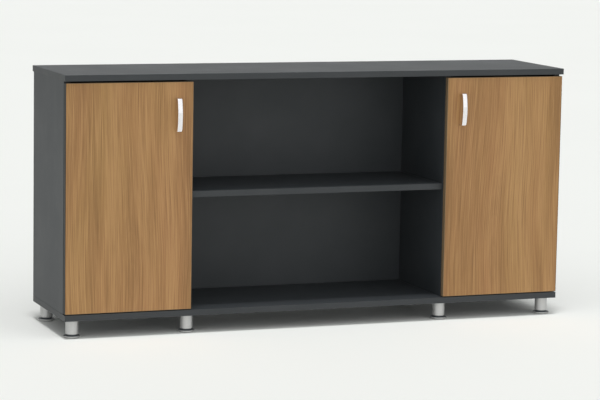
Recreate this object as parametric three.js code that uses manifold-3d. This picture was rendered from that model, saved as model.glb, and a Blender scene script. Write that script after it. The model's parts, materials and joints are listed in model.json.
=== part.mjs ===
// Office credenza: a graphite board carcass with an open niche between two cupboards.
// Each cupboard has a wood-faced door on concealed hinges and a bow handle.
// The carcass stands on eight round legs with levelling feet.
// Millimetres, +X to the right, +Y to the back, +Z up.
// The origin is on the floor, under the middle of the bounding box.

import * as THREE from 'three';
import { mergeVertices } from 'three/addons/utils/BufferGeometryUtils.js';
import Module from 'manifold-3d';

// Overall sizes
const TOP_LENGTH = 1600;
const TOP_DEPTH = 370;
const OVERALL_HEIGHT = 776;
const LEG_HEIGHT = 54;

// Boards and the clearance left between pieces that sit against each other
const BOARD = 18;
const BACK_BOARD = 15;
const SEAM = 0.3;

// How far the top stands past the body sides, the door fronts and the carcass back
const TOP_SIDE_OVERHANG = 3;
const TOP_FRONT_OVERHANG = 3;
const TOP_BACK_OVERHANG = 3;

// Doors
const DOOR_WIDTH = 388;
const DOOR_BOARD = 18;
const DOOR_BACK_GAP = 3;
const DOOR_TOP_GAP = 5.5;
const DOOR_BOTTOM_GAP = 2.5;
const BUMPER_RADIUS = 4;
const BUMPER_DROP = 25;

// Shelves, their pins and the rows of pin holes
const NICHE_SHELF_SETBACK = 4;
const CUPBOARD_SHELF_SETBACK = 20;
const SHELF_PLAY = 1;
const SHELF_PIN_RADIUS = 2.5;
const SHELF_PIN_SHANK = 8.5;
const SHELF_PIN_HEAD_RADIUS = 3.5;
const SHELF_PIN_HEAD = 7;
const PIN_HOLE_CLEARANCE = 0.3;
const PIN_HOLE_SPARE = 1.5;
const PIN_HOLE_DEPTH = SHELF_PIN_SHANK + PIN_HOLE_SPARE;
const PIN_HOLE_PITCH = 32;
const PIN_HOLE_STEPS = [-2, -1, 0, 1, 2];
const PIN_COLUMN_INSET = 50;

// Bow handles and their screws
const HANDLE_HOLE_SPACING = 96;
const HANDLE_END = 6;
const HANDLE_WIDTH = 14.5;
const HANDLE_PROJECTION = 27;
const HANDLE_SHOULDER = 19;
const HANDLE_BAR = 4.5;
const HANDLE_CORNER = 3;
const HANDLE_EDGE_INSET = 48;
const HANDLE_TOP_DROP = 97;
const SCREW_RADIUS = 2;
const SCREW_CLEARANCE = 0.3;
const SCREW_GRIP = 8;
const SCREW_HEAD_RADIUS = 4;
const SCREW_HEAD = 2.4;
const SCREW_HOLE_SPARE = 1;

// Concealed hinges, measured from the pin axis
const HINGE_END_INSET = 95;
const PIN_EDGE = 7.3;
const PIN_DEPTH = 9.8;
const PIN_RADIUS = 1.1;
const PIN_LENGTH = 16;
const PIN_RUN = 0.3;
const CUP_RADIUS = 17.5;
const CUP_EDGE = 3;
const CUP_WALL = 1.2;
const CUP_FLOOR = 0.8;
const CUP_LUG = 1.2;
const CUP_LUG_REACH = 3;
const CUP_FLANGE = 1.2;
const CUP_FLANGE_HEIGHT = 58;
const CUP_FLANGE_RIM = 1;
const EYE_RADIUS = 2.6;
const EYE_RUN = 0.4;
const CUP_DEPTH = PIN_DEPTH + EYE_RADIUS + EYE_RUN + CUP_FLOOR;
const ARM_WIDTH = 8;
const ARM_LINK = 2;
const ARM_METAL = 2.4;
const ARM_PANEL_GAP = 2.2;
const ARM_STEP = 8;
const PLATE_LINE = 37;
const PLATE_BASE = 2;
const PLATE_BASE_DEPTH = 18;
const PLATE_BASE_HEIGHT = 48;
const PLATE_SPINE = 4.5;
const PLATE_SPINE_HEIGHT = 11;
const PLATE_SPINE_LENGTH = 42;
const CHANNEL_WALL = 1.7;
const CHANNEL_LENGTH = 48;

// Legs and levelling feet
const LEG_RADIUS = 19;
const LEG_BEVEL = 0.8;
const LEG_SIDE_INSET = 32;
const LEG_EDGE_INSET = 38;
const MIDDLE_LEG_SHIFT = 6;
const FOOT_RADIUS = 25.5;
const FOOT_SOLE_RADIUS = 23;
const FOOT_BEVEL = 2.5;
const FOOT_DISC = 6.5;
const FOOT_NECK_RADIUS = 15;
const FOOT_NECK = 4.2;
const FOOT_STUD_RADIUS = 5;
const FOOT_STUD = 24;
const FOOT_STUD_CLEARANCE = 0.3;
const FOOT_STUD_SPARE = 6;
const LEG_SOCKET = FOOT_STUD + FOOT_STUD_SPARE;

// Facets of the round pieces
const CUP_SIDES = 24;
const LEG_SIDES = 16;
const ROD_SIDES = 10;
const BOW_STEPS = 8;

// Heights
const BOTTOM_TOP_Z = LEG_HEIGHT + BOARD;
const TOP_UNDER_Z = OVERALL_HEIGHT - BOARD;
const MIDDLE_Z = (BOTTOM_TOP_Z + TOP_UNDER_Z) / 2;
const DOOR_BOTTOM_Z = BOTTOM_TOP_Z + DOOR_BOTTOM_GAP;
const DOOR_TOP_Z = TOP_UNDER_Z - DOOR_TOP_GAP;
const PIN_ROW_Z = MIDDLE_Z - BOARD / 2 - SEAM - SHELF_PIN_HEAD_RADIUS;

// Places from side to side
const BODY_HALF = TOP_LENGTH / 2 - TOP_SIDE_OVERHANG;
const NICHE_HALF = BODY_HALF - DOOR_WIDTH;
const CUPBOARD_INNER = NICHE_HALF + BOARD;
const CUPBOARD_OUTER = BODY_HALF - BOARD;

// Places from front to back
const DOOR_FRONT_Y = (HANDLE_PROJECTION - (TOP_DEPTH - TOP_FRONT_OVERHANG)) / 2;
const DOOR_BACK_Y = DOOR_FRONT_Y + DOOR_BOARD;
const CARCASS_FRONT_Y = DOOR_BACK_Y + DOOR_BACK_GAP;
const TOP_FRONT_Y = DOOR_FRONT_Y - TOP_FRONT_OVERHANG;
const TOP_BACK_Y = TOP_FRONT_Y + TOP_DEPTH;
const CARCASS_BACK_Y = TOP_BACK_Y - TOP_BACK_OVERHANG;
const BACK_BOARD_Y = CARCASS_BACK_Y - BACK_BOARD;
const PIN_COLUMNS_Y = [CARCASS_FRONT_Y + PIN_COLUMN_INSET, BACK_BOARD_Y - PIN_COLUMN_INSET];

const GRAPHITE = new THREE.MeshStandardMaterial({ color: 0x4b4e4f, roughness: 0.6, metalness: 0 });
const WOOD = new THREE.MeshStandardMaterial({ color: 0xa67c54, roughness: 0.55, metalness: 0 });
const SATIN = new THREE.MeshStandardMaterial({ color: 0xb2b3b3, roughness: 0.4, metalness: 0.9 });
const CHROME = new THREE.MeshStandardMaterial({ color: 0xe6e6e8, roughness: 0.15, metalness: 1 });
const STEEL = new THREE.MeshStandardMaterial({ color: 0x9fa2a4, roughness: 0.35, metalness: 1 });
const ZINC = new THREE.MeshStandardMaterial({ color: 0xc2c4c6, roughness: 0.4, metalness: 0.9 });
const CLEAR_PAD = new THREE.MeshStandardMaterial({ color: 0xd8d8d2, roughness: 0.5, metalness: 0 });

const wasm = await Module();
wasm.setup();

const credenza = new THREE.Group();

function addMesh(parent, name, geometry, material) {
  const mesh = new THREE.Mesh(geometry, material);
  mesh.name = name;
  parent.add(mesh);
  return mesh;
}

// A closed geometry as a solid that can be cut and joined.
function toSolid(geometry) {
  const bare = geometry.clone();
  bare.deleteAttribute('normal');
  bare.deleteAttribute('uv');
  const merged = mergeVertices(bare);
  const mesh = new wasm.Mesh({
    numProp: 3,
    vertProperties: new Float32Array(merged.attributes.position.array),
    triVerts: new Uint32Array(merged.index.array),
  });
  return new wasm.Manifold(mesh);
}

function toGeometry(solid) {
  const mesh = solid.getMesh();
  const geometry = new THREE.BufferGeometry();
  geometry.setAttribute('position', new THREE.BufferAttribute(mesh.vertProperties, 3));
  geometry.setIndex(new THREE.BufferAttribute(mesh.triVerts, 1));
  geometry.computeVertexNormals();
  return geometry;
}

function join(...geometries) {
  return toGeometry(geometries.map(toSolid).reduce((whole, piece) => whole.add(piece)));
}

function cut(body, ...tools) {
  return toGeometry(tools.map(toSolid).reduce((rest, tool) => rest.subtract(tool), toSolid(body)));
}

// A box between two corners.
function block(low, high) {
  const size = high.map((value, axis) => value - low[axis]);
  const centre = high.map((value, axis) => (value + low[axis]) / 2);
  return new THREE.BoxGeometry(...size).translate(...centre);
}

// A box on one side of the middle plane, given by its distances from that plane.
function sideBlock(side, inner, outer, yz) {
  const [x0, x1] = [side * inner, side * outer].sort((a, b) => a - b);
  return block([x0, yz.y0, yz.z0], [x1, yz.y1, yz.z1]);
}

// Round rods along each axis, from one end to the other.
function rodX(radius, from, to, y, z, sides) {
  const rod = new THREE.CylinderGeometry(radius, radius, Math.abs(to - from), sides);
  return rod.rotateZ(Math.PI / 2).translate((from + to) / 2, y, z);
}

function rodY(radius, from, to, x, z, sides) {
  const rod = new THREE.CylinderGeometry(radius, radius, to - from, sides);
  return rod.translate(x, (from + to) / 2, z);
}

function rodZ(radius, from, to, x, y, sides) {
  const rod = new THREE.CylinderGeometry(radius, radius, to - from, sides);
  return rod.rotateX(Math.PI / 2).translate(x, y, (from + to) / 2);
}

// A body of revolution about +Z from radius and height pairs, listed from the bottom up.
function turned(profile, sides) {
  const points = profile.map(([radius, height]) => new THREE.Vector2(radius, height));
  return new THREE.LatheGeometry(points, sides).rotateX(Math.PI / 2);
}

// The blind holes for shelf pins in one face of an upright board.
function pinHoles(faceX, inwardX) {
  const radius = SHELF_PIN_RADIUS + PIN_HOLE_CLEARANCE;
  return PIN_COLUMNS_Y.flatMap((y) => PIN_HOLE_STEPS.map((step) => rodX(
    radius,
    faceX - inwardX,
    faceX + inwardX * PIN_HOLE_DEPTH,
    y,
    PIN_ROW_Z + step * PIN_HOLE_PITCH,
    ROD_SIDES,
  )));
}

// Carcass boards
function addCarcass() {
  const uprightZ = { z0: BOTTOM_TOP_Z + SEAM, z1: TOP_UNDER_Z - SEAM };
  addMesh(credenza, 'top_panel', block(
    [-TOP_LENGTH / 2, TOP_FRONT_Y, TOP_UNDER_Z],
    [TOP_LENGTH / 2, TOP_BACK_Y, OVERALL_HEIGHT],
  ), GRAPHITE);
  addMesh(credenza, 'bottom_panel', block(
    [-BODY_HALF, DOOR_FRONT_Y, LEG_HEIGHT],
    [BODY_HALF, CARCASS_BACK_Y, BOTTOM_TOP_Z],
  ), GRAPHITE);
  addMesh(credenza, 'back_panel', block(
    [-CUPBOARD_OUTER + SEAM, BACK_BOARD_Y, uprightZ.z0],
    [CUPBOARD_OUTER - SEAM, CARCASS_BACK_Y, uprightZ.z1],
  ), GRAPHITE);
  for (const [hand, side] of [['left', -1], ['right', 1]]) {
    const outer = sideBlock(side, CUPBOARD_OUTER, BODY_HALF, {
      y0: CARCASS_FRONT_Y,
      y1: CARCASS_BACK_Y,
      ...uprightZ,
    });
    const divider = sideBlock(side, NICHE_HALF, CUPBOARD_INNER, {
      y0: CARCASS_FRONT_Y,
      y1: BACK_BOARD_Y - SEAM,
      ...uprightZ,
    });
    const outerHoles = pinHoles(side * CUPBOARD_OUTER, side);
    const dividerHoles = pinHoles(side * CUPBOARD_INNER, -side);
    addMesh(credenza, `${hand}_side_panel`, cut(outer, ...outerHoles), GRAPHITE);
    addMesh(credenza, `${hand}_divider`, cut(divider, ...dividerHoles), GRAPHITE);
  }
}

// The fixed niche shelf, and a loose shelf on four pins in each cupboard
function addShelves() {
  const z0 = MIDDLE_Z - BOARD / 2;
  const z1 = MIDDLE_Z + BOARD / 2;
  addMesh(credenza, 'niche_shelf', block(
    [-NICHE_HALF + SEAM, CARCASS_FRONT_Y + NICHE_SHELF_SETBACK, z0],
    [NICHE_HALF - SEAM, BACK_BOARD_Y - SEAM, z1],
  ), GRAPHITE);
  const pinProfile = [
    [0, 0],
    [SHELF_PIN_RADIUS, 0],
    [SHELF_PIN_RADIUS, SHELF_PIN_SHANK],
    [SHELF_PIN_HEAD_RADIUS, SHELF_PIN_SHANK],
    [SHELF_PIN_HEAD_RADIUS, SHELF_PIN_SHANK + SHELF_PIN_HEAD],
    [0, SHELF_PIN_SHANK + SHELF_PIN_HEAD],
  ];
  for (const [hand, side] of [['left', -1], ['right', 1]]) {
    addMesh(credenza, `${hand}_shelf`, sideBlock(
      side,
      CUPBOARD_INNER + SHELF_PLAY,
      CUPBOARD_OUTER - SHELF_PLAY,
      { y0: CARCASS_FRONT_Y + CUPBOARD_SHELF_SETBACK, y1: BACK_BOARD_Y - SHELF_PLAY, z0, z1 },
    ), GRAPHITE);
    let number = 0;
    for (const [distance, inward] of [[CUPBOARD_OUTER, -side], [CUPBOARD_INNER, side]]) {
      for (const y of PIN_COLUMNS_Y) {
        number += 1;
        const pin = addMesh(credenza, `${hand}_shelf_pin_${number}`, turned(pinProfile, ROD_SIDES), STEEL);
        pin.position.set(side * distance - inward * (SHELF_PIN_SHANK - SEAM), y, PIN_ROW_Z);
        pin.rotation.y = inward * Math.PI / 2;
      }
    }
  }
}

// The bow handle's outline from the side: height along the door, then distance in front of it
function handleOutline() {
  const half = (HANDLE_HOLE_SPACING + HANDLE_END) / 2;
  const rise = HANDLE_PROJECTION - HANDLE_SHOULDER;
  const radius = (half * half + rise * rise) / (2 * rise);
  const centre = HANDLE_PROJECTION - radius;
  const outerTurn = Math.asin((half - HANDLE_CORNER) / radius);
  const innerHalf = half - HANDLE_END;
  const innerRadius = radius - HANDLE_BAR;
  const innerTurn = Math.asin((innerHalf - HANDLE_CORNER) / innerRadius);
  const outerEnd = centre + radius * Math.cos(outerTurn);
  const innerEnd = centre + innerRadius * Math.cos(innerTurn);
  const up = Math.PI / 2;
  const outline = new THREE.Shape();
  outline.moveTo(-half, SEAM);
  outline.lineTo(-half, HANDLE_SHOULDER - HANDLE_CORNER);
  outline.quadraticCurveTo(-half, outerEnd, -half + HANDLE_CORNER, outerEnd);
  outline.absarc(0, centre, radius, up + outerTurn, up - outerTurn, true);
  outline.quadraticCurveTo(half, outerEnd, half, HANDLE_SHOULDER - HANDLE_CORNER);
  outline.lineTo(half, SEAM);
  outline.lineTo(innerHalf, SEAM);
  outline.lineTo(innerHalf, innerEnd - HANDLE_CORNER);
  outline.quadraticCurveTo(innerHalf, innerEnd, innerHalf - HANDLE_CORNER, innerEnd);
  outline.absarc(0, centre, innerRadius, up - innerTurn, up + innerTurn, false);
  outline.quadraticCurveTo(-innerHalf, innerEnd, -innerHalf, innerEnd - HANDLE_CORNER);
  outline.lineTo(-innerHalf, SEAM);
  outline.closePath();
  return outline;
}

// Doors with their handles, handle screws and bumpers
function addDoors() {
  const handleZ = DOOR_TOP_Z - HANDLE_TOP_DROP;
  const screwHeights = [handleZ + HANDLE_HOLE_SPACING / 2, handleZ - HANDLE_HOLE_SPACING / 2];
  const holeRadius = SCREW_RADIUS + SCREW_CLEARANCE;
  const gripY = DOOR_FRONT_Y - SCREW_GRIP;
  const turn = new THREE.Matrix4().makeBasis(
    new THREE.Vector3(0, 0, 1),
    new THREE.Vector3(0, -1, 0),
    new THREE.Vector3(1, 0, 0),
  );
  for (const [hand, side] of [['left', -1], ['right', 1]]) {
    const cupX = side * (BODY_HALF - CUP_EDGE - CUP_RADIUS);
    const handleX = side * (NICHE_HALF + HANDLE_EDGE_INSET);
    const board = sideBlock(side, NICHE_HALF, BODY_HALF, {
      y0: DOOR_FRONT_Y,
      y1: DOOR_BACK_Y,
      z0: DOOR_BOTTOM_Z,
      z1: DOOR_TOP_Z,
    });
    const cupHoles = hingeHeights().map(([, z]) => rodY(
      CUP_RADIUS + SEAM,
      DOOR_BACK_Y - CUP_DEPTH - SEAM,
      DOOR_BACK_Y + CUP_DEPTH,
      cupX,
      z,
      CUP_SIDES,
    ));
    const screwHoles = screwHeights.map((z) => rodY(
      holeRadius,
      gripY - SCREW_HOLE_SPARE,
      DOOR_BACK_Y + SCREW_HEAD,
      handleX,
      z,
      ROD_SIDES,
    ));
    addMesh(credenza, `${hand}_door`, cut(board, ...cupHoles, ...screwHoles), WOOD);

    const bow = new THREE.ExtrudeGeometry(handleOutline(), {
      depth: HANDLE_WIDTH,
      curveSegments: BOW_STEPS,
      bevelEnabled: false,
    });
    bow.translate(0, 0, -HANDLE_WIDTH / 2).applyMatrix4(turn).translate(handleX, DOOR_FRONT_Y, handleZ);
    addMesh(credenza, `${hand}_handle`, cut(bow, ...screwHoles), CHROME);

    for (const [index, z] of screwHeights.entries()) {
      const headY = DOOR_BACK_Y + SEAM;
      const shank = rodY(SCREW_RADIUS, gripY, headY + SCREW_HEAD / 2, handleX, z, ROD_SIDES);
      const head = rodY(SCREW_HEAD_RADIUS, headY, headY + SCREW_HEAD, handleX, z, ROD_SIDES);
      addMesh(credenza, `${hand}_handle_screw_${index + 1}`, join(shank, head), STEEL);
    }

    addMesh(credenza, `${hand}_door_bumper`, rodY(
      BUMPER_RADIUS,
      DOOR_BACK_Y + SEAM,
      CARCASS_FRONT_Y - SEAM,
      side * (NICHE_HALF + BOARD / 2),
      DOOR_TOP_Z - BUMPER_DROP,
      ROD_SIDES,
    ), CLEAR_PAD);
  }
}

function hingeHeights() {
  return [['upper', DOOR_TOP_Z - HINGE_END_INSET], ['lower', DOOR_BOTTOM_Z + HINGE_END_INSET]];
}

// The cup let into the door: a round pocket, two lugs that hold the pin, and a screw flange
function hingeCup() {
  const x = CUP_EDGE + CUP_RADIUS - PIN_EDGE;
  const under = PIN_DEPTH - CUP_DEPTH;
  const floor = under + CUP_FLOOR;
  const seat = PIN_DEPTH + SEAM;
  const face = seat + CUP_FLANGE;
  const past = face + CUP_FLANGE;
  const armHalf = ARM_WIDTH / 2 + PIN_RUN;
  const boreHalf = PIN_LENGTH / 2 + PIN_RUN;
  const eyeReach = EYE_RADIUS + EYE_RUN;
  const flange = block(
    [CUP_EDGE - PIN_EDGE, seat, -CUP_FLANGE_HEIGHT / 2],
    [x + CUP_RADIUS + CUP_FLANGE_RIM, face, CUP_FLANGE_HEIGHT / 2],
  );
  const plug = rodY(CUP_RADIUS, under, seat + CUP_FLANGE / 2, x, 0, CUP_SIDES);
  const lugs = [-1, 1].map((end) => {
    const near = Math.min(end * armHalf, end * (boreHalf + CUP_LUG));
    const far = Math.max(end * armHalf, end * (boreHalf + CUP_LUG));
    return block([-CUP_RADIUS, under, near], [CUP_LUG_REACH, PIN_DEPTH, far]);
  });
  const pocket = cut(rodY(CUP_RADIUS - CUP_WALL, floor, past, x, 0, CUP_SIDES), ...lugs);
  const eyeRoom = block([-eyeReach, floor, -armHalf], [CUP_LUG_REACH, past, armHalf]);
  const bore = rodZ(PIN_RADIUS + PIN_RUN, -boreHalf, boreHalf, 0, 0, ROD_SIDES);
  return cut(join(flange, plug), pocket, eyeRoom, bore);
}

// Distances of the hinge arm from the pin: the rise beside the panel, and the channel over the plate
const PANEL_INNER = BOARD - PIN_EDGE;
const PANEL_FRONT = PIN_DEPTH + DOOR_BACK_GAP;
const RISE_NEAR = PANEL_INNER + ARM_PANEL_GAP;
const RISE_FAR = RISE_NEAR + ARM_METAL;
const PLATE_SEAT = PANEL_INNER + SEAM;
const SPINE_TOP = PLATE_SEAT + PLATE_BASE + PLATE_SPINE;
const CHANNEL_UNDER = SPINE_TOP + SEAM;
const CHANNEL_TOP = CHANNEL_UNDER + ARM_METAL;
const CHANNEL_FRONT = PANEL_FRONT + ARM_STEP + ARM_METAL;
const PLATE_CENTRE = PANEL_FRONT + PLATE_LINE;

// The arm: an eye on the pin, a cranked neck out of the cup, and a channel over the plate
function hingeArm() {
  const half = ARM_WIDTH / 2;
  const crank = new THREE.Shape([
    new THREE.Vector2(0, -ARM_LINK / 2),
    new THREE.Vector2(RISE_FAR, -ARM_LINK / 2),
    new THREE.Vector2(RISE_FAR, PANEL_FRONT),
    new THREE.Vector2(CHANNEL_TOP, PANEL_FRONT + ARM_STEP),
    new THREE.Vector2(CHANNEL_TOP, CHANNEL_FRONT + ARM_METAL),
    new THREE.Vector2(CHANNEL_UNDER, CHANNEL_FRONT + ARM_METAL),
    new THREE.Vector2(CHANNEL_UNDER, PANEL_FRONT + ARM_STEP + ARM_LINK / 2),
    new THREE.Vector2(RISE_NEAR, PANEL_FRONT + ARM_LINK / 2),
    new THREE.Vector2(RISE_NEAR, ARM_LINK / 2),
    new THREE.Vector2(0, ARM_LINK / 2),
  ]);
  const neck = new THREE.ExtrudeGeometry(crank, { depth: ARM_WIDTH, bevelEnabled: false });
  neck.translate(0, 0, -half);
  const eye = rodZ(EYE_RADIUS, -half, half, 0, 0, ROD_SIDES);
  const inner = PLATE_SPINE_HEIGHT / 2 + SEAM;
  const outer = inner + CHANNEL_WALL;
  const back = CHANNEL_FRONT + CHANNEL_LENGTH;
  const web = block([CHANNEL_UNDER, CHANNEL_FRONT, -outer], [CHANNEL_TOP, back, outer]);
  const sideLow = PLATE_SEAT + PLATE_BASE + SEAM;
  const sideHigh = (CHANNEL_UNDER + CHANNEL_TOP) / 2;
  const lowerWall = block([sideLow, CHANNEL_FRONT, -outer], [sideHigh, back, -inner]);
  const upperWall = block([sideLow, CHANNEL_FRONT, inner], [sideHigh, back, outer]);
  const bore = rodZ(PIN_RADIUS + PIN_RUN, -ARM_WIDTH, ARM_WIDTH, 0, 0, ROD_SIDES);
  return cut(join(neck, eye, web, lowerWall, upperWall), bore);
}

// The mounting plate on the inside of the side panel: a cross base with a spine along the arm
function hingePlate() {
  const baseTop = PLATE_SEAT + PLATE_BASE;
  const base = block(
    [PLATE_SEAT, PLATE_CENTRE - PLATE_BASE_DEPTH / 2, -PLATE_BASE_HEIGHT / 2],
    [baseTop, PLATE_CENTRE + PLATE_BASE_DEPTH / 2, PLATE_BASE_HEIGHT / 2],
  );
  const spine = block(
    [PLATE_SEAT, PLATE_CENTRE - PLATE_SPINE_LENGTH / 2, -PLATE_SPINE_HEIGHT / 2],
    [SPINE_TOP, PLATE_CENTRE + PLATE_SPINE_LENGTH / 2, PLATE_SPINE_HEIGHT / 2],
  );
  return join(base, spine);
}

// Two hinges to a door; the right-hand ones are the left-hand ones turned end for end
function addHinges() {
  for (const [hand, side] of [['left', -1], ['right', 1]]) {
    for (const [level, z] of hingeHeights()) {
      const hinge = new THREE.Group();
      hinge.position.set(side * (BODY_HALF - PIN_EDGE), DOOR_BACK_Y - PIN_DEPTH, z);
      hinge.rotation.y = side > 0 ? Math.PI : 0;
      const pin = rodZ(PIN_RADIUS, -PIN_LENGTH / 2, PIN_LENGTH / 2, 0, 0, ROD_SIDES);
      addMesh(hinge, `${hand}_${level}_hinge_cup`, hingeCup(), ZINC);
      addMesh(hinge, `${hand}_${level}_hinge_pin`, pin, STEEL);
      addMesh(hinge, `${hand}_${level}_hinge_arm`, hingeArm(), ZINC);
      addMesh(hinge, `${hand}_${level}_hinge_plate`, hingePlate(), ZINC);
      credenza.add(hinge);
    }
  }
}

// Legs under the bottom panel, each with a foot that screws down out of it
function addLegs() {
  const footTop = FOOT_DISC + FOOT_NECK;
  const legBottom = footTop + SEAM;
  const legTop = LEG_HEIGHT - SEAM;
  const socketRadius = FOOT_STUD_RADIUS + FOOT_STUD_CLEARANCE;
  const legProfile = [
    [0, legBottom + LEG_SOCKET],
    [socketRadius, legBottom + LEG_SOCKET],
    [socketRadius, legBottom],
    [LEG_RADIUS - LEG_BEVEL, legBottom],
    [LEG_RADIUS, legBottom + LEG_BEVEL],
    [LEG_RADIUS, legTop - LEG_BEVEL],
    [LEG_RADIUS - LEG_BEVEL, legTop],
    [0, legTop],
  ];
  const footProfile = [
    [0, 0],
    [FOOT_SOLE_RADIUS, 0],
    [FOOT_RADIUS, FOOT_BEVEL],
    [FOOT_RADIUS, FOOT_DISC],
    [FOOT_NECK_RADIUS, FOOT_DISC],
    [FOOT_NECK_RADIUS, footTop],
    [FOOT_STUD_RADIUS, footTop],
    [FOOT_STUD_RADIUS, footTop + FOOT_STUD],
    [0, footTop + FOOT_STUD],
  ];
  const outerX = BODY_HALF - LEG_SIDE_INSET;
  const middleX = NICHE_HALF + BOARD / 2 - MIDDLE_LEG_SHIFT;
  const rows = [['front', DOOR_FRONT_Y + LEG_EDGE_INSET], ['rear', CARCASS_BACK_Y - LEG_EDGE_INSET]];
  for (const [row, y] of rows) {
    for (const [index, x] of [-outerX, -middleX, middleX, outerX].entries()) {
      const leg = addMesh(credenza, `${row}_leg_${index + 1}`, turned(legProfile, LEG_SIDES), SATIN);
      const foot = addMesh(credenza, `${row}_foot_${index + 1}`, turned(footProfile, LEG_SIDES), SATIN);
      leg.position.set(x, y, 0);
      foot.position.set(x, y, 0);
    }
  }
}

addCarcass();
addShelves();
addDoors();
addHinges();
addLegs();

export default credenza;
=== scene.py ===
# %% [markdown]
# # An office credenza
# A low, wide cupboard for an office: a graphite board carcass, an open niche with one shelf,
# a wood-faced door at each end and eight short metal legs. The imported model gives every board,
# hinge and foot its place. This lesson dresses it: softened edges, drilled holes, turned legs,
# bent handles and the finish of each surface.

# %% Load the fixed frame
import json
import math

import bmesh
import bpy
import numpy as np
from mathutils import Matrix, Vector


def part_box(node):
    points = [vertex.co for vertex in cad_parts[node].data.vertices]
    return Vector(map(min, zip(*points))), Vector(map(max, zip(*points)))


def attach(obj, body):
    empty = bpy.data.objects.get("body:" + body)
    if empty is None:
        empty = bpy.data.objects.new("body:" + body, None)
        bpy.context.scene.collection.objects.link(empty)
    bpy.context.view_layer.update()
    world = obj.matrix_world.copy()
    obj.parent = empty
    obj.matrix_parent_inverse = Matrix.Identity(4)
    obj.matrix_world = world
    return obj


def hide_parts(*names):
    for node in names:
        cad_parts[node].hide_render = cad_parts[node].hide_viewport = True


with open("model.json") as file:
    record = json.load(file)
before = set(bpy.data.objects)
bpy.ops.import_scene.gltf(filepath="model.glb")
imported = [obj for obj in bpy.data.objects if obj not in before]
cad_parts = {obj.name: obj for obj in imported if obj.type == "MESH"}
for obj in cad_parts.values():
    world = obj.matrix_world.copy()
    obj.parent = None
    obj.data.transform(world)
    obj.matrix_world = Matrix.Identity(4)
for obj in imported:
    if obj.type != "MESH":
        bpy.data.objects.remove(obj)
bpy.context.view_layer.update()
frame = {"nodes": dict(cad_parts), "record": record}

# %% [markdown]
# ## Camera
# The picture is taken from the front left, a little above the top, with a long lens. A long lens
# keeps the uprights nearly parallel, as they are in the photograph. The camera's axes are written
# out from three angles, which is easier to adjust than a quaternion.

# %% Camera at the photograph's angle
IMAGE_WIDTH = 600
SENSOR_WIDTH = 36.0
FAR_LIMIT = 300.0
FOCAL_PIXELS = 2468.4
CAMERA_PLACE = (-2.6859, -7.0415, 1.3754)
YAW, PITCH, ROLL = 0.3639, 0.1331, 0.0175


def camera_axes():
    """The right-hand axis is level and turned by yaw, the view dips by pitch, and both cross axes
    then turn about the view by roll."""
    dip = math.cos(PITCH)
    ahead = Vector((math.sin(YAW) * dip, math.cos(YAW) * dip, -math.sin(PITCH)))
    level = Vector((math.cos(YAW), -math.sin(YAW), 0.0))
    above = level.cross(ahead)
    right = math.cos(ROLL) * level + math.sin(ROLL) * above
    up = math.cos(ROLL) * above - math.sin(ROLL) * level
    return Matrix((right, up, -ahead)).transposed().to_4x4()


def aim_camera():
    """A camera with those axes, whose lens is the focal length in pixels scaled to the sensor."""
    data = bpy.data.cameras.new("photo_camera")
    data.sensor_width = SENSOR_WIDTH
    data.lens = FOCAL_PIXELS / IMAGE_WIDTH * SENSOR_WIDTH
    data.clip_end = FAR_LIMIT
    made = bpy.data.objects.new("photo_camera", data)
    bpy.context.scene.collection.objects.link(made)
    made.matrix_world = Matrix.Translation(CAMERA_PLACE) @ camera_axes()
    bpy.context.scene.camera = made
    return made


camera = aim_camera()
print("lens", round(camera.data.lens, 1), "mm")

# %% [markdown]
# ## Wiring nodes from code
# Every finish below is a small network of nodes. Wiring each one by hand in the editor would be
# slow to repeat, so a few helpers place a node, set its values and give back its output.

# %% Node helpers
def feed(tree, socket, value):
    """Links a socket to another one, or sets its value when given a number or a tuple."""
    if isinstance(value, bpy.types.NodeSocket):
        tree.links.new(value, socket)
    else:
        socket.default_value = value


def add_node(tree, kind, **settings):
    """A node of that kind. Settings whose name is one of its sockets set the socket's value;
    the others set the node's own properties."""
    made = tree.nodes.new(kind)
    for name, value in settings.items():
        label = name.replace("_", " ")
        if label in made.inputs:
            made.inputs[label].default_value = value
        else:
            setattr(made, name, value)
    return made


def noise(tree, vector, scale, detail, roughness=0.5):
    """Smooth noise on a vector; the scale is a number or a socket."""
    made = add_node(tree, "ShaderNodeTexNoise", Detail=detail, Roughness=roughness)
    feed(tree, made.inputs["Vector"], vector)
    feed(tree, made.inputs["Scale"], scale)
    return made.outputs["Fac"]


def mix_colors(tree, factor, first, second):
    """A colour mix; each colour is a socket to link or a tuple to set."""
    made = add_node(tree, "ShaderNodeMix", data_type="RGBA")
    feed(tree, made.inputs["Factor"], factor)
    color_inputs = [socket for socket in made.inputs if socket.type == "RGBA"]
    for socket, color in zip(color_inputs, (first, second)):
        feed(tree, socket, (*color, 1.0) if isinstance(color, tuple) else color)
    return next(socket for socket in made.outputs if socket.type == "RGBA")


def object_place(tree):
    """The place on the piece, in the frame that every piece shares."""
    return add_node(tree, "ShaderNodeTexCoord").outputs["Object"]


def new_material(name, **shader_values):
    """A material with a Principled shader whose constant sockets are set directly."""
    material = bpy.data.materials.new(name)
    material.use_nodes = True
    tree = material.node_tree
    shader = tree.nodes["Principled BSDF"]
    for socket, value in shader_values.items():
        shader.inputs[socket.replace("_", " ")].default_value = value
    return material, tree, shader


print("node helpers ready")

# %% [markdown]
# ## Floor
# The object stands on a plain pale floor. A curved backdrop would also do, but a floor that runs
# very far back fills the picture by itself and has no seam to hide.

# %% Pale floor
FLOOR_HALF = 80.0
FLOOR_DARK = (0.872, 0.880, 0.858)
FLOOR_LIGHT = (0.892, 0.900, 0.878)
FLOOR_CLOUDS = 0.7


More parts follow.
